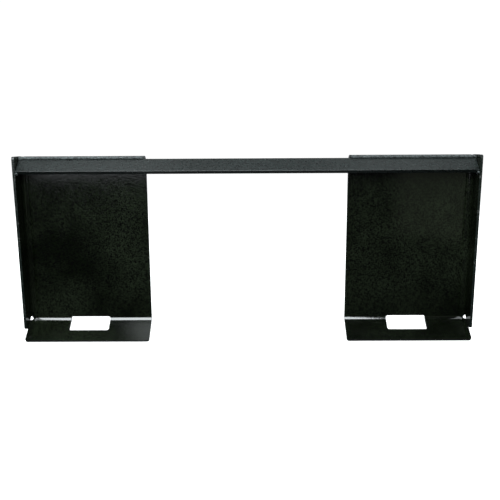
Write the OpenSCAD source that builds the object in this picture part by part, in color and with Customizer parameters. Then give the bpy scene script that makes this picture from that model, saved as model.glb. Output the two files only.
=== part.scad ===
// Weld-on quick-attach frame for a skid steer loader.
// Two press-brake formed plates, joined along the top by a sloping hook bar.
// The flat backs of the plates are welded to an attachment. The loader's coupler hooks under the bar,
// rests on the bottom flanges and locks with two wedges through their slots.

/* [Frame] */
// Width over the two side flanges
overall_w = 1156; // [1120:1:1190]
// Open gap between the two plates
plate_gap = 512; // [460:1:560]
// Height of a plate's face, from the line of its bottom bend to its top
face_h = 428; // [400:1:460]
// Thickness of the sheet that the plates are formed from
sheet_t = 6.35; // [5:0.05:8]
// Inside radius of the bends
bend_r = 13; // [12:0.5:14]

/* [Side flange] */
// Reach of the side flange in front of the face
side_reach = 47.5; // [44:0.5:52]
// Clear distance between the side flange's lower edge and the bottom flange
corner_gap = 14; // [13:0.5:16]
// Radius on the side flange's front corners
side_corner_r = 6; // [3:0.5:7]

/* [Bottom flange] */
// Length of the flange, from the line of its bend to its tip
flange_len = 67.5; // [60:0.5:75]
// Angle of the flange below horizontal
flange_slope = 39; // [37:1:43]
// Radius on the flange's tip corners
tip_corner_r = 6; // [3:0.5:10]

/* [Wedge slot] */
// Width of the slot
slot_w = 104; // [80:1:120]
// Distance between the middles of the two slots
slot_spacing = 835; // [800:1:860]
// How far the slot runs down the flange from the line of the bend
slot_run = 35.5; // [30:0.5:44]
// How far the slot climbs up the face from the line of the bend
slot_rise = 6.5; // [6:0.5:10]
// Radius in the slot's corners
slot_corner_r = 5; // [2:0.5:6]

/* [Hook bar] */
// Width of the flat bar
bar_w = 41.5; // [38:0.5:43]
// Thickness of the flat bar
bar_t = 11; // [9:0.5:12]
// How far the bar's upper edge lies below the top of the plates
bar_drop = 7; // [6.5:0.1:7.5]
// How far the bar's lower edge stands back from the side flanges' front edges
bar_setback = 0.5; // [0:0.1:1]

/* [Corner reliefs] */
// Diameter of the relief hole where the side and bottom bends meet
relief_d = 13; // [10:0.5:14]
// Width of the relief notch where the side and top bends meet
notch_w = 11; // [9:0.5:12]

/* [Welds] */
// Radius of the bead along the bar's upper edge
top_bead_r = 4.2; // [3.9:0.1:4.5]
// Radius of the stitches in the root of the hook
root_bead_r = 5; // [4.6:0.1:5.4]
// Length of one root stitch
stitch_len = 50; // [30:1:70]
// Number of root stitches on each plate
stitch_count = 3; // [2:1:4]
// Leg of the bead at each end of the bar
end_bead_r = 6; // [4:0.5:7]

/* [Hidden] */
$fn = 64;

// Room for a cutter to pass clear through the sheet.
clearance = 5;

// Everything below is drawn in a working frame: y = 0 on the plates' front faces, and z = 0 where the
// planes of the face and of the bottom flange's upper side meet. in_part_frame() then moves it.
half_w = overall_w / 2;
inner_x = plate_gap / 2;
side_face_x = half_w - sheet_t;
side_bend_x = side_face_x - bend_r;

// The bottom bend turns the sheet from straight down to the flange's slope.
bottom_turn = 90 - flange_slope;
bend_run = bend_r * tan(bottom_turn / 2);
// How far the sheet below the side bend overlaps it, so that the two join into one solid.
bend_lap = 0.5;
top_bend_z = face_h - sheet_t - bend_r;

// The top flange is a short lip, whose front edge stands over the bar's upper edge.
top_reach = bend_r + 4;

// The hook bar slopes down and forward, with its lower edge level with the side flanges.
bar_slope = 45;
bar_edge_y = bar_setback - side_reach + bar_w * cos(bar_slope);
bar_edge_z = face_h - bar_drop;
bar_end_gap = 1;
bar_half_len = side_face_x - bar_end_gap;

// The bottom relief hole goes through the outer part of the side bend, just above the bottom bend.
relief_x = half_w - 3.5;
relief_z = 4;

// The top relief is a round-bottomed notch, which starts just inboard of the side bend.
notch_inner_x = side_bend_x - 1;

// Extents in the working frame, for the move to the part's own frame.
front_y = min(-side_reach, -flange_len * cos(flange_slope));
middle_y = (front_y + sheet_t) / 2;
bottom_z = -flange_len * sin(flange_slope) - sheet_t * cos(flange_slope);

plate_colour = [0.10, 0.11, 0.11];
bar_colour = [0.22, 0.24, 0.24];
weld_colour = [0.30, 0.32, 0.32];

// Origin in the middle of the width and depth, level with the lowest point of the flange tips.
module in_part_frame() {
    translate([0, -middle_y, -bottom_z]) children();
}

// Mirrors for side = -1, which is the left, and keeps the right for side = 1.
module on_side(side) {
    mirror([side < 0 ? 1 : 0, 0, 0]) children();
}

// The sliver to take off one convex corner of an outline so that it is rounded to radius r.
module corner_sliver(corner, before, after, r) {
    to_before = (before - corner) / norm(before - corner);
    to_after = (after - corner) / norm(after - corner);
    half_angle = acos(to_before * to_after) / 2;
    run = r / tan(half_angle);
    bisector = (to_before + to_after) / norm(to_before + to_after);
    centre = corner + bisector * r / sin(half_angle);
    difference() {
        polygon([corner, corner + to_before * run, centre, corner + to_after * run]);
        translate(centre) circle(r);
    }
}

// A convex outline with its own radius on each corner, where 0 leaves a corner sharp.
module rounded_outline(points, radii) {
    last = len(points) - 1;
    difference() {
        polygon(points);
        for (i = [0 : last]) {
            if (radii[i] > 0) {
                corner_sliver(points[i], points[i == 0 ? last : i - 1], points[i == last ? 0 : i + 1], radii[i]);
            }
        }
    }
}

// Stands a (y, z) outline up and extrudes it along x.
module along_x(from_x, to_x) {
    translate([from_x, 0, 0]) rotate([90, 0, 90]) linear_extrude(to_x - from_x) children();
}

// The outline of a bend in the sheet, about its own axis, between two angles from the first axis.
module bend_outline(from_angle, to_angle) {
    far = 2 * (bend_r + sheet_t);
    intersection() {
        difference() {
            circle(bend_r + sheet_t);
            circle(bend_r);
        }
        polygon([
            [0, 0],
            far * [cos(from_angle), sin(from_angle)],
            far * [cos(to_angle), sin(to_angle)]
        ]);
    }
}

// Turns (x, distance down the slope) into place, and z into depth below the upper side of the slope.
module down_slope(slope) {
    rotate([180 + slope, 0, 0]) children();
}

// Height of the side flange's lower edge, which runs parallel to the bottom flange.
function lower_edge_z(y) = y * tan(flange_slope) + corner_gap / cos(flange_slope);

// The plate as seen along x, in (y, z), up to the height top_z. Each bend is a sharp corner of the sheet
// that is rounded outside and filled inside.
module side_view(top_z) {
    down = [sin(flange_slope), -cos(flange_slope)];
    tip = -flange_len * [cos(flange_slope), sin(flange_slope)];
    bottom_inside = [0, 0];
    bottom_outside = [sheet_t, -sheet_t * tan(bottom_turn / 2)];
    top_inside = [0, face_h - sheet_t];
    top_outside = [sheet_t, face_h];
    top_front = [-top_reach, face_h];
    intersection() {
        difference() {
            union() {
                polygon([
                    top_front, top_front - [0, sheet_t], top_inside, bottom_inside,
                    tip, tip + sheet_t * down, bottom_outside, top_outside
                ]);
                corner_sliver(bottom_inside, tip, top_inside, bend_r);
                corner_sliver(top_inside, top_front - [0, sheet_t], bottom_inside, bend_r);
            }
            corner_sliver(bottom_outside, tip + sheet_t * down, top_outside, bend_r + sheet_t);
            corner_sliver(top_outside, top_front, bottom_outside, bend_r + sheet_t);
        }
        translate([-flange_len, bottom_z - clearance])
            square([2 * flange_len, top_z - bottom_z + clearance]);
    }
}

// The side bend starts where the bottom bend ends, and only the relief hole lies between them.
module side_bend() {
    translate([0, 0, bend_run])
        linear_extrude(face_h - bend_run)
            translate([side_bend_x, -bend_r]) bend_outline(0, 90);
}

module side_flange() {
    along_x(side_face_x, half_w)
        rounded_outline(
            [
                [-side_reach, lower_edge_z(-side_reach)],
                [-bend_r, lower_edge_z(-bend_r)],
                [-bend_r, face_h],
                [-side_reach, face_h]
            ],
            [side_corner_r, 0, 0, side_corner_r]
        );
}

// Rounds the two corners at the tip of the bottom flange.
module tip_corners() {
    down_slope(flange_slope)
        translate([0, 0, -clearance])
            linear_extrude(sheet_t + 2 * clearance) {
                corner_sliver([inner_x, flange_len], [inner_x, 0], [half_w, flange_len], tip_corner_r);
                corner_sliver([half_w, flange_len], [half_w, 0], [inner_x, flange_len], tip_corner_r);
            }
}

module corner_relief() {
    translate([relief_x, -bend_r - 1, relief_z])
        rotate([-90, 0, 0]) cylinder(h = bend_r + sheet_t + clearance, d = relief_d);
}

module top_relief() {
    depth = bend_r + sheet_t + clearance;
    translate([notch_inner_x, -bend_r - 1, top_bend_z])
        cube([notch_w, depth, bend_r + sheet_t + 1]);
    translate([notch_inner_x + notch_w / 2, -bend_r - 1, top_bend_z])
        rotate([-90, 0, 0]) cylinder(h = depth, d = notch_w);
}

// The slot's lower end is cut square to the flange and its upper end square to the face.
module wedge_slot() {
    slot_x0 = (slot_spacing - slot_w) / 2;
    slot_x1 = (slot_spacing + slot_w) / 2;
    radii = [0, 0, slot_corner_r, slot_corner_r];
    intersection() {
        down_slope(flange_slope)
            translate([0, 0, -3 * clearance])
                linear_extrude(sheet_t + 6 * clearance)
                    rounded_outline(
                        [[slot_x0, -flange_len], [slot_x1, -flange_len], [slot_x1, slot_run], [slot_x0, slot_run]],
                        radii
                    );
        translate([0, sheet_t + clearance, 0])
            rotate([90, 0, 0])
                linear_extrude(sheet_t + clearance + flange_len)
                    rounded_outline(
                        [[slot_x0, -flange_len], [slot_x1, -flange_len], [slot_x1, slot_rise], [slot_x0, slot_rise]],
                        radii
                    );
    }
}

// One formed plate, on the right of the working frame.
module formed_plate() {
    difference() {
        union() {
            along_x(inner_x, notch_inner_x) side_view(face_h + 1);
            along_x(notch_inner_x, side_bend_x) side_view(top_bend_z);
            along_x(side_bend_x, half_w) side_view(bend_run + bend_lap);
            side_bend();
            side_flange();
        }
        corner_relief();
        top_relief();
        wedge_slot();
        tip_corners();
    }
}

// The flat bar before it is trimmed or moved, from its upper front edge.
module flat_bar(half_len) {
    translate([-half_len, bar_edge_y, bar_edge_z])
        down_slope(bar_slope)
            cube([2 * half_len, bar_w, bar_t]);
}

// A round bead along x, less whatever steel it lies on.
module bead_along_x(from_x, to_x, y, z, r) {
    difference() {
        translate([from_x, y, z]) rotate([0, 90, 0]) cylinder(h = to_x - from_x, r = r);
        flat_bar(half_w);
        along_x(0, half_w) side_view(face_h + 1);
    }
}

// Fills the groove between the top flange's front edge and the bar's upper edge.
module top_bead() {
    bead_along_x(inner_x + 3, side_face_x, -top_reach - 0.4, face_h - 4.6, top_bead_r);
}

// Short stitches under the top flange, against the back of the bar. They leave the hook's mouth open.
module root_beads() {
    end_margin = 30;
    first_x = inner_x + end_margin;
    pitch = (side_bend_x - end_margin - stitch_len - first_x) / (stitch_count - 1);
    bead_y = bar_edge_y + bar_t * sin(bar_slope) - 0.5;
    bead_z = bar_edge_z - 3;
    for (i = [0 : stitch_count - 1]) {
        bead_along_x(first_x + i * pitch, first_x + i * pitch + stitch_len, bead_y, bead_z, root_bead_r);
    }
}

// Joins the bar's end to the side flange: a quarter-round along the back of the bar, and a lump where
// the bead turns round the bar's lower edge.
module end_bead() {
    bead_start = 6;
    lump_r = 4;
    difference() {
        translate([0, bar_edge_y, bar_edge_z])
            down_slope(bar_slope) {
                translate([side_face_x, bead_start, bar_t])
                    rotate([-90, 0, 0]) cylinder(h = bar_w - bead_start + 0.5, r = end_bead_r);
                translate([side_face_x, bar_w - 0.5, bar_t / 2]) rotate([0, -90, 0]) sphere(lump_r);
            }
        translate([side_face_x, -side_reach - clearance, 0])
            cube([half_w, side_reach + 2 * clearance, face_h + clearance]);
        flat_bar(bar_half_len);
    }
}

module left_plate() {
    color(plate_colour) in_part_frame() on_side(-1) formed_plate();
}

module right_plate() {
    color(plate_colour) in_part_frame() on_side(1) formed_plate();
}

module hook_bar() {
    color(bar_colour) in_part_frame() flat_bar(bar_half_len);
}

module left_top_weld() {
    color(weld_colour) in_part_frame() on_side(-1) top_bead();
}

module right_top_weld() {
    color(weld_colour) in_part_frame() on_side(1) top_bead();
}

module left_root_welds() {
    color(weld_colour) in_part_frame() on_side(-1) root_beads();
}

module right_root_welds() {
    color(weld_colour) in_part_frame() on_side(1) root_beads();
}

module left_end_weld() {
    color(weld_colour) in_part_frame() on_side(-1) end_bead();
}

module right_end_weld() {
    color(weld_colour) in_part_frame() on_side(1) end_bead();
}

left_plate();
right_plate();
hook_bar();
left_top_weld();
right_top_weld();
left_root_welds();
right_root_welds();
left_end_weld();
right_end_weld();
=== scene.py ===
import math

import bmesh
import bpy
from mathutils import Matrix, Vector, noise
from mathutils.geometry import delaunay_2d_cdt


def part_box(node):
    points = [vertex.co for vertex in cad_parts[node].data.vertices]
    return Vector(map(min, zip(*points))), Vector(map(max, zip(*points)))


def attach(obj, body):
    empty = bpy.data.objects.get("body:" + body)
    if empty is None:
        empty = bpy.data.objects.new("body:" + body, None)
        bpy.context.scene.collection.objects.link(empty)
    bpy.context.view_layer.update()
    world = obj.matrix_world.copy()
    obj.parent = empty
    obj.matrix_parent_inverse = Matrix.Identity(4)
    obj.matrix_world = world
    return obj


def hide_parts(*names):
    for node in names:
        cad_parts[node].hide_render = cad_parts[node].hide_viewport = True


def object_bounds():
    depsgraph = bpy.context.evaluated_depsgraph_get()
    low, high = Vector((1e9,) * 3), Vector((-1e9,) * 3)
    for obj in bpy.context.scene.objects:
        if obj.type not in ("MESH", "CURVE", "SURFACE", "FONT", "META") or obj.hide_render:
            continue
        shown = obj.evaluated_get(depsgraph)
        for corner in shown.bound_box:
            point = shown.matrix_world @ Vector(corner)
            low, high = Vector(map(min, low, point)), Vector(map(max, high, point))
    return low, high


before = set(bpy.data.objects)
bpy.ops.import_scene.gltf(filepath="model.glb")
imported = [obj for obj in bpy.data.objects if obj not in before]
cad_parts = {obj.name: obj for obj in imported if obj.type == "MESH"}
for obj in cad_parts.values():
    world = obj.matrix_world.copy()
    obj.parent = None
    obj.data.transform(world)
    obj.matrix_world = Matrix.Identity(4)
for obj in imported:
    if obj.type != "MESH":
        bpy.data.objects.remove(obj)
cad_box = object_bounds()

# A weld-on quick-attach frame: two formed plates, a sloping hook bar and the weld beads between them.
# The sizes that the nodes' boxes can't give are stated here, in metres, as the CAD model has them.
SHEET_T = 0.00635
FACE_H = 0.428
BEND_R = 0.013
FLANGE_LEN = 0.0675
FLANGE_SLOPE = math.radians(39)
SIDE_REACH = 0.0475
TOP_REACH = 0.017
CORNER_GAP = 0.014
SIDE_CORNER_R = 0.006
TIP_CORNER_R = 0.006
SLOT_W = 0.104
SLOT_SPACING = 0.835
SLOT_RUN = 0.0355
SLOT_RISE = 0.0065
SLOT_CORNER_R = 0.005
RELIEF_R = 0.0065
RELIEF_HEIGHT = 0.004
# From the relief hole's inner side to the side flange's outer face.
RELIEF_INSET = 0.010
NOTCH_W = 0.011
# How far the top notch starts inboard of the side bend.
NOTCH_INSET = 0.001
# The notch crosses the side bend, so it is this much wider in the flat pattern.
NOTCH_STRETCH = 0.0014
BAR_W = 0.0415
BAR_T = 0.011
BAR_SLOPE = math.radians(45)
TOP_BEAD_R = 0.0042
ROOT_BEAD_R = 0.005
STITCH_LEN = 0.050
STITCH_COUNT = 3
END_BEAD_R = 0.0036
# The distance between two points along a weld's path, and between two of the ripples across the weld.
WELD_STEP = 0.0005
RIPPLE_PITCH = 0.0024

EDGE_ROUND = 0.0007
BAR_EDGE_ROUND = 0.0006
# Moves the paint's cloudy pattern, which decides where its lighter and darker patches fall. The patches are
# partly random paint tone and partly painted reflection: the offset puts them where reflections of the
# surroundings would fall on the plates.
CLOUD_AND_REFLECTION_OFFSET = (3.4, 0.0, 2.9)

# Places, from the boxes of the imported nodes. The plates' front faces lie at y = FACE_Y, and the planes of
# the face and of the bottom flange's upper side meet at the height CORNER_Z.
plate_low, plate_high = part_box("right_plate")
bar_low, bar_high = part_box("hook_bar")
HALF_W = plate_high.x
INNER_X = plate_low.x
FACE_Y = plate_high.y - SHEET_T
TOP_Z = plate_high.z
CORNER_Z = TOP_Z - FACE_H
SIDE_FACE_X = HALF_W - SHEET_T
SIDE_BEND_X = SIDE_FACE_X - BEND_R

# The flat pattern of a plate, as it is cut before it is bent. u runs outwards from the middle of the frame
# and v runs upwards from the corner line, both measured along the plate's front side.
BOTTOM_TURN = math.pi / 2 - FLANGE_SLOPE
BOTTOM_BEND_TOP = BEND_R * math.tan(BOTTOM_TURN / 2)
BOTTOM_BEND_END = BOTTOM_BEND_TOP - BEND_R * BOTTOM_TURN
TOP_BEND_START = FACE_H - SHEET_T - BEND_R
TOP_BEND_END = TOP_BEND_START + BEND_R * math.pi / 2
SIDE_BEND_END = SIDE_BEND_X + BEND_R * math.pi / 2
V_TIP = BOTTOM_BEND_END - (FLANGE_LEN - BOTTOM_BEND_TOP)
V_SLOT_END = BOTTOM_BEND_END - (SLOT_RUN - BOTTOM_BEND_TOP)
V_LIP = TOP_BEND_END + TOP_REACH - BEND_R
U_FRONT = SIDE_BEND_END + SIDE_REACH - BEND_R
U_NOTCH = SIDE_BEND_X - NOTCH_INSET

# How close two points of the outline, or a point and a cut across the sheet, must be to count as one.
SAME_POINT = 1e-7
SAME_CUT = 1e-6
# Edges sharper than the first angle are shaded as hard edges. A plate's edges sharper than the second one
# get a small bevel.
SHARP_ANGLE = math.radians(38)
BEVELLED_ANGLE = math.radians(40)


# ---------------------------------------------------------------------------------------------- materials

def new_material(name):
    material = bpy.data.materials.new(name)
    material.use_nodes = True
    nodes = material.node_tree.nodes
    return material, nodes, material.node_tree.links, nodes["Principled BSDF"]


def object_coordinates(nodes):
    return nodes.new("ShaderNodeTexCoord").outputs["Object"]


def noise_texture(nodes, links, coordinates, scale, detail, roughness):
    texture = nodes.new("ShaderNodeTexNoise")
    texture.inputs["Scale"].default_value = scale
    texture.inputs["Detail"].default_value = detail
    texture.inputs["Roughness"].default_value = roughness
    links.new(coordinates, texture.inputs["Vector"])
    return texture.outputs["Fac"]


def shifted(nodes, links, coordinates, offset):
    mapping = nodes.new("ShaderNodeMapping")
    mapping.inputs["Location"].default_value = offset
    links.new(coordinates, mapping.inputs["Vector"])
    return mapping.outputs["Vector"]


def ramp(nodes, links, value, stops):
    node = nodes.new("ShaderNodeValToRGB")
    elements = node.color_ramp.elements
    while len(elements) < len(stops):
        elements.new(0.5)
    for element, (position, colour) in zip(elements, stops):
        element.position = position
        element.color = (*colour, 1.0)
    links.new(value, node.inputs["Fac"])
    return node.outputs["Color"]


def map_range(nodes, links, value, from_low, from_high, to_low, to_high):
    node = nodes.new("ShaderNodeMapRange")
    for name, number in (
        ("From Min", from_low), ("From Max", from_high), ("To Min", to_low), ("To Max", to_high)
    ):
        node.inputs[name].default_value = number
    links.new(value, node.inputs["Value"])
    return node.outputs["Result"]


def multiply_colours(nodes, links, first, second):
    node = nodes.new("ShaderNodeMix")
    node.data_type = "RGBA"
    node.blend_type = "MULTIPLY"
    sockets = {socket.identifier: socket for socket in [*node.inputs, *node.outputs]}
    sockets["Factor_Float"].default_value = 1.0
    links.new(first, sockets["A_Color"])
    links.new(second, sockets["B_Color"])
    return sockets["Result_Color"]


def bump(nodes, links, height, distance, after=None):
    node = nodes.new("ShaderNodeBump")
    node.inputs["Strength"].default_value = 1.0
    node.inputs["Distance"].default_value = distance
    links.new(height, node.inputs["Height"])
    if after is not None:
        links.new(after, node.inputs["Normal"])
    return node.outputs["Normal"]


def black_paint(name, dark, light, gloss, grain, specular):
    """Thin black paint on rolled steel: cloudy tone, fine mottling, orange peel and a few dull patches. The
    cloudy tone is partly painted reflection, with its patches placed to stand in for reflections on the
    plates.

    The tone runs from dark to light, gloss is the lowest and highest roughness, and grain is the relief's
    strength. The clouds are about 160 mm across, the pits 5 mm, the mottling 3 mm and the peel 1 mm.
    """
    material, nodes, links, shader = new_material(name)
    where = object_coordinates(nodes)
    where_clouds_and_reflections = shifted(nodes, links, where, CLOUD_AND_REFLECTION_OFFSET)
    clouds_and_painted_reflections = noise_texture(nodes, links, where_clouds_and_reflections, scale=6, detail=4, roughness=0.55)
    mottle = noise_texture(nodes, links, where, scale=330, detail=3, roughness=0.6)
    peel = noise_texture(nodes, links, where, scale=900, detail=2, roughness=0.5)
    pits = noise_texture(nodes, links, where, scale=190, detail=5, roughness=0.65)
    # The clouds set the paint's tone. It is partly random tone and partly painted reflection on the plates.
    tone = ramp(nodes, links, clouds_and_painted_reflections, [(0.34, dark), (0.64, light)])
    speckle = ramp(nodes, links, mottle, [(0.40, (0.0, 0.0, 0.0)), (0.60, (3.4, 3.4, 3.4))])
    links.new(multiply_colours(nodes, links, tone, speckle), shader.inputs["Base Color"])
    low, high = gloss
    links.new(map_range(nodes, links, pits, 0.35, 0.65, low, high), shader.inputs["Roughness"])
    peel_depth = 0.00008 * grain
    pit_depth = 0.0006 * grain
    normal = bump(nodes, links, pits, pit_depth, after=bump(nodes, links, peel, peel_depth))
    links.new(normal, shader.inputs["Normal"])
    shader.inputs["Specular IOR Level"].default_value = specular
    return material


def cut_edge_paint():
    """The sheet's cut edges, where the paint is thinner and duller over the cut's fine ridges."""
    material, nodes, links, shader = new_material("cut_edge_paint")
    where = object_coordinates(nodes)
    wear = noise_texture(nodes, links, where, scale=70, detail=4, roughness=0.6)
    ridges = noise_texture(nodes, links, where, scale=1100, detail=2, roughness=0.5)
    ridge_depth = 0.00012
    tone = ramp(
        nodes, links, wear,
        [(0.35, (0.001, 0.002, 0.002)), (0.6, (0.004, 0.006, 0.005)), (0.75, (0.05, 0.05, 0.049))],
    )
    links.new(tone, shader.inputs["Base Color"])
    links.new(map_range(nodes, links, ridges, 0.3, 0.7, 0.14, 0.26), shader.inputs["Roughness"])
    links.new(bump(nodes, links, ridges, ridge_depth), shader.inputs["Normal"])
    shader.inputs["Specular IOR Level"].default_value = 0.5
    return material


def floor_finish():
    """A plain white floor that shows only a faint shadow."""
    material, _, _, shader = new_material("floor_white")
    shader.inputs["Base Color"].default_value = (0.35, 0.35, 0.35, 1.0)
    shader.inputs["Roughness"].default_value = 1.0
    shader.inputs["Specular IOR Level"].default_value = 0.0
    shader.inputs["Emission Color"].default_value = (1.0, 1.0, 1.0, 1.0)
    shader.inputs["Emission Strength"].default_value = 0.95
    return material


# ------------------------------------------------------------------------------------------------- shapes

def side_word(side):
    """side is 1 for the right and -1 for the left, here and in all the shapes below."""
    return "right" if side > 0 else "left"


def new_piece(name, bm, materials, replaced):
    """Turns a bmesh into a piece that rides on the frame and stands for the named CAD node."""
    mesh = bpy.data.meshes.new(name)
    bmesh.ops.recalc_face_normals(bm, faces=bm.faces)
    bm.to_mesh(mesh)
    bm.free()
    mesh.polygons.foreach_set("use_smooth", [True] * len(mesh.polygons))
    mesh.set_sharp_from_angle(angle=SHARP_ANGLE)
    for material in materials:
        mesh.materials.append(material)
    piece = bpy.data.objects.new(name, mesh)
    bpy.context.scene.collection.objects.link(piece)
    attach(piece, "root")
    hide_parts(replaced)
    return piece


def weighted_normals(piece):
    modifier = piece.modifiers.new("flat_faces", "WEIGHTED_NORMAL")
    modifier.keep_sharp = True
    modifier.weight = 80


def arc(centre, radius, start, end, steps):
    """Points of an arc in the flat pattern, from angle start to angle end, in degrees."""
    points = []
    for i in range(steps + 1):
        angle = math.radians(start + (end - start) * i / steps)
        points.append(Vector((centre[0] + radius * math.cos(angle), centre[1] + radius * math.sin(angle))))
    return points


def rounded_corner(before, corner, after, radius, steps=6):
    """Points of the arc that rounds the corner between two straight edges."""
    before, corner, after = Vector(before), Vector(corner), Vector(after)
    back = (before - corner).normalized()
    onward = (after - corner).normalized()
    half = back.angle(onward) / 2
    centre = corner + (back + onward).normalized() * radius / math.sin(half)
    start = corner + back * radius / math.tan(half) - centre
    end = corner + onward * radius / math.tan(half) - centre
    swing = start.angle_signed(end)
    points = []
    for i in range(steps + 1):
        turned = start.copy()
        turned.rotate(Matrix.Rotation(-swing * i / steps, 2))
        points.append(centre + turned)
    return points


def plate_outline():
    """The outer edge of the flat pattern, anticlockwise from the inner corner of the bottom flange's tip."""
    relief_turn = math.asin((HALF_W - RELIEF_INSET - SIDE_BEND_X) / BEND_R)
    relief = (SIDE_BEND_X + BEND_R * relief_turn + RELIEF_R, RELIEF_HEIGHT)
    tip_inner = (INNER_X, V_TIP)
    tip_outer = (HALF_W, V_TIP)
    # The relief hole is open on its outer side. Its lower end runs into the end of the bottom flange, and
    # its upper end into the side flange's lower edge, which is parallel to the bottom flange once bent.
    ear_angle = -math.degrees(math.acos((HALF_W - relief[0]) / RELIEF_R))
    flange_normal = Vector((math.sin(FLANGE_SLOPE), math.cos(FLANGE_SLOPE)))
    on_side_edge = Vector((SIDE_BEND_END - BEND_R, CORNER_GAP / math.cos(FLANGE_SLOPE)))
    above_relief = (on_side_edge - Vector(relief)).dot(flange_normal)
    edge_angle = 90 - math.degrees(FLANGE_SLOPE) - math.degrees(math.acos(above_relief / RELIEF_R))
    edge_start = arc(relief, RELIEF_R, edge_angle, edge_angle, 1)[0]
    side_low = (U_FRONT, edge_start.y - (U_FRONT - edge_start.x) * math.tan(FLANGE_SLOPE))
    side_top = (U_FRONT, FACE_H)
    notch_outer = U_NOTCH + NOTCH_W + NOTCH_STRETCH
    notch_middle = ((U_NOTCH + notch_outer) / 2, TOP_BEND_START)
    notch_r = (notch_outer - U_NOTCH) / 2
    points = rounded_corner((INNER_X, 0), tip_inner, tip_outer, TIP_CORNER_R)
    points += rounded_corner(tip_inner, tip_outer, (HALF_W, 0), TIP_CORNER_R)
    points += arc(relief, RELIEF_R, ear_angle, edge_angle - 360, 24)
    points += rounded_corner(edge_start, side_low, side_top, SIDE_CORNER_R)
    points += rounded_corner(side_low, side_top, (notch_outer, FACE_H), SIDE_CORNER_R)
    points.append(Vector((notch_outer, FACE_H)))
    points += arc(notch_middle, notch_r, 0, -180, 12)
    points.append(Vector((U_NOTCH, V_LIP)))
    points.append(Vector((INNER_X, V_LIP)))
    return points


def slot_outline():
    left = (SLOT_SPACING - SLOT_W) / 2
    right = (SLOT_SPACING + SLOT_W) / 2
    corners = [(left, V_SLOT_END), (right, V_SLOT_END), (right, SLOT_RISE), (left, SLOT_RISE)]
    points = []
    for i, corner in enumerate(corners):
        points += rounded_corner(corners[i - 1], corner, corners[(i + 1) % 4], SLOT_CORNER_R)
    return points


def eased(value, low, high):
    t = min(max((value - low) / (high - low), 0.0), 1.0)
    return t * t * (3 - 2 * t)


def fold(u, v, depth):
    """Where a point of the flat pattern lies once bent, depth behind the plate's front side."""
    x, y, z = u, depth, v
    if u > SIDE_BEND_X:
        turn = min((u - SIDE_BEND_X) / BEND_R, math.pi / 2)
        beyond = max(u - SIDE_BEND_END, 0.0)
        bent_x = SIDE_BEND_X + (BEND_R + depth) * math.sin(turn)
        bent_y = -BEND_R + (BEND_R + depth) * math.cos(turn) - beyond
        # Between the relief and the face the side bend fades out into the bottom flange.
        share = 1.0 if u > HALF_W else eased(v, RELIEF_HEIGHT - RELIEF_R, BOTTOM_BEND_TOP)
        x += (bent_x - u) * share
        y += (bent_y - depth) * share
    if u <= HALF_W and v < BOTTOM_BEND_TOP:
        turn = min((BOTTOM_BEND_TOP - v) / BEND_R, BOTTOM_TURN)
        beyond = max(BOTTOM_BEND_END - v, 0.0)
        radius = BEND_R + y
        y = -BEND_R + radius * math.cos(turn) - beyond * math.cos(FLANGE_SLOPE)
        z = BOTTOM_BEND_TOP - radius * math.sin(turn) - beyond * math.sin(FLANGE_SLOPE)
    if u <= U_NOTCH + SAME_CUT and v > TOP_BEND_START:
        turn = min((v - TOP_BEND_START) / BEND_R, math.pi / 2)
        beyond = max(v - TOP_BEND_END, 0.0)
        y = -BEND_R + (BEND_R + depth) * math.cos(turn) - beyond
        z = TOP_BEND_START + (BEND_R + depth) * math.sin(turn)
    return Vector((x, y + FACE_Y, z + CORNER_Z))


def evenly(low, high, count):
    return [low + (high - low) * i / count for i in range(count + 1)]


def is_inside(point, loop):
    """Whether a point is inside a closed loop, by counting the edges that lie to its right."""
    crossings = 0
    for a, b in zip(loop, loop[1:] + loop[:1]):
        if (a.y > point.y) != (b.y > point.y):
            if a.x + (point.y - a.y) / (b.y - a.y) * (b.x - a.x) > point.x:
                crossings += 1
    return crossings % 2 == 1


def flat_pattern():
    """The cut sheet as a flat bmesh, with extra cuts across it where it will bend."""
    points, edges = [], []
    slot = slot_outline()
    for loop in (plate_outline(), slot):
        first = len(points)
        points += loop
        edges += [(first + i, first + (i + 1) % len(loop)) for i in range(len(loop))]
    triangles_inside = 1
    corners, _, faces, *_ = delaunay_2d_cdt(points, edges, [], triangles_inside, SAME_POINT)
    bm = bmesh.new()
    vertices = [bm.verts.new((p.x, p.y, 0)) for p in corners]
    for face in faces:
        middle = sum((corners[i] for i in face), Vector((0, 0))) / len(face)
        if not is_inside(middle, slot):
            bm.faces.new([vertices[i] for i in face])
    cuts = [((0, v, 0), (0, 1, 0)) for v in evenly(BOTTOM_BEND_END, BOTTOM_BEND_TOP, 10)]
    cuts += [((0, v, 0), (0, 1, 0)) for v in evenly(TOP_BEND_START, TOP_BEND_END, 14)]
    cuts += [((u, 0, 0), (1, 0, 0)) for u in evenly(SIDE_BEND_X, SIDE_BEND_END, 14)]
    for place, direction in cuts:
        geometry = bm.verts[:] + bm.edges[:] + bm.faces[:]
        bmesh.ops.bisect_plane(bm, geom=geometry, dist=SAME_CUT, plane_co=place, plane_no=direction)
    return bm


def round_sharp_edges(bm, width, segments, material):
    sharp = [e for e in bm.edges if len(e.link_faces) == 2 and e.calc_face_angle() > BEVELLED_ANGLE]
    bmesh.ops.bevel(
        bm, geom=sharp, offset=width, segments=segments, profile=0.5, affect="EDGES",
        clamp_overlap=True, material=material,
    )


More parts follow.
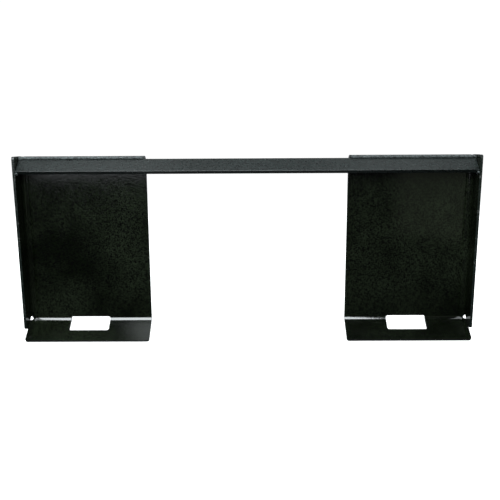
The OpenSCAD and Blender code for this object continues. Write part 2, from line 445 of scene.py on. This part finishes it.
def formed_plate(side, materials):
    """Bends the flat pattern and gives it its thickness."""
    flat = flat_pattern()
    bm = bmesh.new()
    mirror = Vector((side, 1, 1))
    front = {v: bm.verts.new(fold(v.co.x, v.co.y, 0.0) * mirror) for v in flat.verts}
    back = {v: bm.verts.new(fold(v.co.x, v.co.y, SHEET_T) * mirror) for v in flat.verts}
    for face in flat.faces:
        bm.faces.new([front[v] for v in face.verts])
        bm.faces.new([back[v] for v in reversed(face.verts)])
    for edge in flat.edges:
        if len(edge.link_faces) == 1:
            a, b = edge.verts
            rim = bm.faces.new([front[a], front[b], back[b], back[a]])
            rim.material_index = 1
    flat.free()
    bmesh.ops.recalc_face_normals(bm, faces=bm.faces)
    round_sharp_edges(bm, EDGE_ROUND, segments=2, material=1)
    word = side_word(side)
    piece = new_piece(word + "_formed_plate", bm, materials, word + "_plate")
    weighted_normals(piece)


def bar_point(x, down, depth):
    """A point of the hook bar: down its slope from the upper front edge, and depth behind its face."""
    return Vector((
        x,
        bar_low.y + (BAR_W - down) * math.cos(BAR_SLOPE) + depth * math.sin(BAR_SLOPE),
        bar_high.z - down * math.sin(BAR_SLOPE) - depth * math.cos(BAR_SLOPE),
    ))


def hot_rolled_bar(materials):
    """The flat bar, with its rolled edges rounded and a very slight wave along its length."""
    corners = [(0, 0), (BAR_W, 0), (BAR_W, BAR_T), (0, BAR_T)]
    section = []
    for i, corner in enumerate(corners):
        section += rounded_corner(corners[i - 1], corner, corners[(i + 1) % 4], BAR_EDGE_ROUND, 4)
    bm = bmesh.new()
    rings = []
    wave_depth = 0.00012
    lengths = 96
    for x in evenly(bar_low.x, bar_high.x, lengths):
        wave = wave_depth * noise.noise((x * 9, 0.3, 0.7))
        rings.append([bm.verts.new(bar_point(x, p.x, p.y + wave)) for p in section])
    for ring, following in zip(rings, rings[1:]):
        for i in range(len(ring)):
            j = (i + 1) % len(ring)
            bm.faces.new([ring[i], ring[j], following[j], following[i]])
    for ring in (rings[0], rings[-1]):
        end = bm.faces.new(ring)
        end.material_index = 1
    piece = new_piece("hook_flat_bar", bm, materials, "hook_bar")
    weighted_normals(piece)


def add_bead(bm, path, radius, crown, seed):
    """Sweeps a rippled weld bead along a path of points. crown points away from the steel it lies on."""
    around = 16
    end_run = 0.9 * radius
    tip_share = 0.02
    drift_share = 0.10
    ripple_share = 0.06
    rings = []
    travelled = 0.0
    for i, point in enumerate(path):
        ahead = path[min(i + 1, len(path) - 1)] - path[max(i - 1, 0)]
        along = ahead.normalized()
        up = (crown - along * crown.dot(along)).normalized()
        across = along.cross(up)
        if i > 0:
            travelled += (point - path[i - 1]).length
        left = sum(((path[k + 1] - path[k]).length for k in range(i, len(path) - 1)), 0.0)
        end_distance = min(travelled, left)
        # The bead closes to a small round tip at each end, and its width drifts a little in between.
        closing = math.sqrt(max(1 - max(1 - end_distance / end_run, 0.0) ** 2, tip_share ** 2))
        drift = drift_share * noise.noise((travelled * 90, seed, 0.5))
        ring = []
        for k in range(around):
            angle = 2 * math.pi * k / around
            # The ripples are crescents, which lag behind at the bead's sides.
            lag = 0.9 * (1 - math.cos(angle))
            phase = travelled / RIPPLE_PITCH - lag + 0.6 * noise.noise((travelled * 150, seed, 3.1))
            ripple = abs(math.sin(math.pi * phase))
            size = radius * closing * (1 + drift + ripple_share * (ripple - 0.6))
            ring.append(bm.verts.new(point + up * math.cos(angle) * size + across * math.sin(angle) * size))
        rings.append(ring)
    for ring, following in zip(rings, rings[1:]):
        for k in range(around):
            n = (k + 1) % around
            bm.faces.new([ring[k], ring[n], following[n], following[k]])
    bm.faces.new(rings[0])
    bm.faces.new(rings[-1])


def straight_path(start, end):
    count = max(int((end - start).length / WELD_STEP), 2)
    return [start.lerp(end, i / count) for i in range(count + 1)]


def top_weld(side, materials):
    """The bead between the plate's top lip and the bar's upper edge."""
    word = side_word(side)
    low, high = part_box(word + "_top_weld")
    y = low.y + TOP_BEAD_R
    z = high.z - TOP_BEAD_R
    bm = bmesh.new()
    path = straight_path(Vector((low.x, y, z)), Vector((high.x, y, z)))
    add_bead(bm, path, TOP_BEAD_R, Vector((0, -0.6, 0.8)), 1.7 * side)
    new_piece(word + "_lip_bead", bm, materials, word + "_top_weld")


def root_welds(side, materials):
    """The short stitches inside the hook, against the back of the bar."""
    word = side_word(side)
    low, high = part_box(word + "_root_welds")
    y = high.y - ROOT_BEAD_R
    z = low.z + ROOT_BEAD_R
    pitch = (high.x - low.x - STITCH_LEN) / (STITCH_COUNT - 1)
    bm = bmesh.new()
    for i in range(STITCH_COUNT):
        start = Vector((low.x + i * pitch, y, z))
        end = start + Vector((STITCH_LEN, 0, 0))
        add_bead(bm, straight_path(start, end), ROOT_BEAD_R, Vector((0, 0.7, -0.7)), 4.1 + i + side)
    new_piece(word + "_root_stitches", bm, materials, word + "_root_welds")


def end_weld(side, materials):
    """The bead down the back of the bar's end, which turns round the bar's lower edge and ends in a lump."""
    word = side_word(side)
    x = side * (SIDE_FACE_X - 0.0012)
    bead_start = 0.007
    back_steps = 64
    turn_steps = 12
    edge_steps = 11
    turn_r = 0.0022
    turn_down = BAR_W - 0.001
    turn_depth = BAR_T - 0.0018
    path = [bar_point(x, bead_start + WELD_STEP * i, turn_depth + turn_r) for i in range(back_steps + 1)]
    for i in range(1, turn_steps + 1):
        angle = math.pi / 2 * i / turn_steps
        down = turn_down + turn_r * math.sin(angle)
        path.append(bar_point(x, down, turn_depth + turn_r * math.cos(angle)))
    for i in range(1, edge_steps + 1):
        path.append(bar_point(x, turn_down + turn_r, turn_depth - WELD_STEP * i))
    bm = bmesh.new()
    add_bead(bm, path, END_BEAD_R, Vector((-side, 0.0, -0.6)), 8.3 * side)
    new_piece(word + "_end_bead", bm, materials, word + "_end_weld")


# ------------------------------------------------------------------------------------- floor, light, camera

COOL_WHITE = (0.92, 0.98, 1.0)
GREENISH = (0.85, 1.0, 0.72)


def floor():
    half_size = 7.0
    clear_of_object = 0.0002
    bm = bmesh.new()
    bmesh.ops.create_grid(bm, x_segments=2, y_segments=2, size=half_size)
    mesh = bpy.data.meshes.new("floor")
    bm.to_mesh(mesh)
    bm.free()
    mesh.materials.append(floor_finish())
    plane = bpy.data.objects.new("floor", mesh)
    plane.location.z = cad_box[0][2] - clear_of_object
    # The object's black paint shows the lights alone, so the floor is left out of its reflections.
    plane.visible_diffuse = False
    plane.visible_glossy = False
    bpy.context.scene.collection.objects.link(plane)


def studio_world():
    """A white background for the camera. It lights the object only dimly, and more from behind it."""
    world = bpy.data.worlds.new("studio")
    world.use_nodes = True
    bpy.context.scene.world = world
    nodes, links = world.node_tree.nodes, world.node_tree.links
    white = nodes["Background"]
    white.inputs["Color"].default_value = (1.0, 1.0, 1.0, 1.0)
    white.inputs["Strength"].default_value = 1.05
    dim = nodes.new("ShaderNodeBackground")
    dim.inputs["Color"].default_value = (0.9, 0.95, 1.0, 1.0)
    direction = nodes.new("ShaderNodeSeparateXYZ")
    links.new(nodes.new("ShaderNodeTexCoord").outputs["Generated"], direction.inputs["Vector"])
    # The strength is 0.03 from the front, and rises to 0.38 from well behind the object.
    strength = map_range(nodes, links, direction.outputs["Y"], -0.05, 0.45, 0.03, 0.38)
    links.new(strength, dim.inputs["Strength"])
    mix = nodes.new("ShaderNodeMixShader")
    links.new(nodes.new("ShaderNodeLightPath").outputs["Is Camera Ray"], mix.inputs["Fac"])
    links.new(dim.outputs["Background"], mix.inputs[1])
    links.new(white.outputs["Background"], mix.inputs[2])
    links.new(mix.outputs["Shader"], nodes["World Output"].inputs["Surface"])


def softbox(name, azimuth, elevation, distance, width, height, radiance, colour=COOL_WHITE):
    """An area light aimed at the object. Azimuth 0 is in front of the plates and 90 is to the right."""
    azimuth, elevation = math.radians(azimuth), math.radians(elevation)
    target = Vector((0, 0, TOP_Z / 2))
    away = Vector((
        math.sin(azimuth) * math.cos(elevation),
        -math.cos(azimuth) * math.cos(elevation),
        math.sin(elevation),
    ))
    data = bpy.data.lights.new(name, "AREA")
    data.shape = "RECTANGLE"
    data.size = width
    data.size_y = height
    data.energy = radiance * math.pi * width * height
    data.color = colour
    light = bpy.data.objects.new(name, data)
    light.location = target + away * distance
    light.rotation_euler = away.to_track_quat("Z", "Y").to_euler()
    light.visible_camera = False
    bpy.context.scene.collection.objects.link(light)


def studio_lights():
    """The name, azimuth and elevation of each softbox, then its distance, width, height and radiance."""
    softbox("front_softbox", -9, 38.5, 2.8, 2.55, 3.1, 14.8)
    softbox("overhead_softbox", 0, 98, 2.6, 2.6, 0.8, 0.3)
    softbox("overhead_left_softbox", -97, 68, 2.7, 0.5, 0.9, 0.8)
    softbox("overhead_right_softbox", 97, 68, 2.7, 0.5, 0.9, 1.4)
    softbox("upper_left_softbox", -64, 74, 2.7, 0.4, 0.36, 1.2)
    softbox("low_left_softbox", -21, 3.0, 2.8, 0.9, 0.16, 2.4)
    softbox("low_right_softbox", 41, 0.0, 1.3, 0.5, 0.30, 0.15, GREENISH)
    softbox("left_softbox", -75, 25, 3.0, 1.0, 1.4, 1.4)
    softbox("right_softbox", 75, 25, 3.0, 1.0, 1.4, 0.2)
    softbox("rear_left_softbox", -112, 28, 3.0, 1.6, 2.0, 9.0)
    softbox("rear_right_softbox", 112, 28, 3.0, 1.6, 2.0, 9.0)
    softbox("rear_softbox", 180, 40, 3.0, 2.8, 2.0, 3.0)


def photo_camera():
    """The viewpoint: in front of the frame at about its own height, looking slightly down."""
    pitch, yaw, roll = math.radians(10.730), math.radians(-0.232), math.radians(-0.279)
    forward = Vector((math.sin(yaw) * math.cos(pitch), math.cos(yaw) * math.cos(pitch), -math.sin(pitch)))
    right = Vector((math.cos(yaw), -math.sin(yaw), 0))
    up = right.cross(forward)
    right, up = (
        math.cos(roll) * right + math.sin(roll) * up,
        -math.sin(roll) * right + math.cos(roll) * up,
    )
    matrix = Matrix((right, up, -forward)).transposed().to_4x4()
    off_centre, ahead_of_face, above_corner = 0.01249, 1.52726, 0.47372
    matrix.translation = Vector((off_centre, FACE_Y - ahead_of_face, CORNER_Z + above_corner))
    data = bpy.data.cameras.new("camera")
    data.lens = 43.06
    data.sensor_width = 36.0
    camera = bpy.data.objects.new("camera", data)
    camera.matrix_world = matrix
    bpy.context.scene.collection.objects.link(camera)
    bpy.context.scene.camera = camera


plate_paint = black_paint(
    "plate_paint", (0.0002, 0.0004, 0.0001), (0.0017, 0.0024, 0.0013), (0.07, 0.13), 0.14, 0.6
)
bar_paint = black_paint(
    "bar_paint", (0.0010, 0.0018, 0.0016), (0.0020, 0.0030, 0.0028), (0.26, 0.33), 0.6, 0.5
)
# The weld beads carry the same black paint made about ten times lighter. This is a painted sheen that stands
# in for the light the beads catch, on top of their duller, rougher finish.
weld_paint = black_paint(
    "weld_paint", (0.010, 0.012, 0.012), (0.018, 0.021, 0.021), (0.60, 0.75), 0.5, 0.25
)
edge_paint = cut_edge_paint()

for side in (1, -1):
    formed_plate(side, [plate_paint, edge_paint])
    top_weld(side, [weld_paint])
    root_welds(side, [weld_paint])
    end_weld(side, [weld_paint])
hot_rolled_bar([bar_paint, edge_paint])

floor()
studio_world()
studio_lights()
photo_camera()
bpy.context.scene.view_settings.view_transform = "Standard"
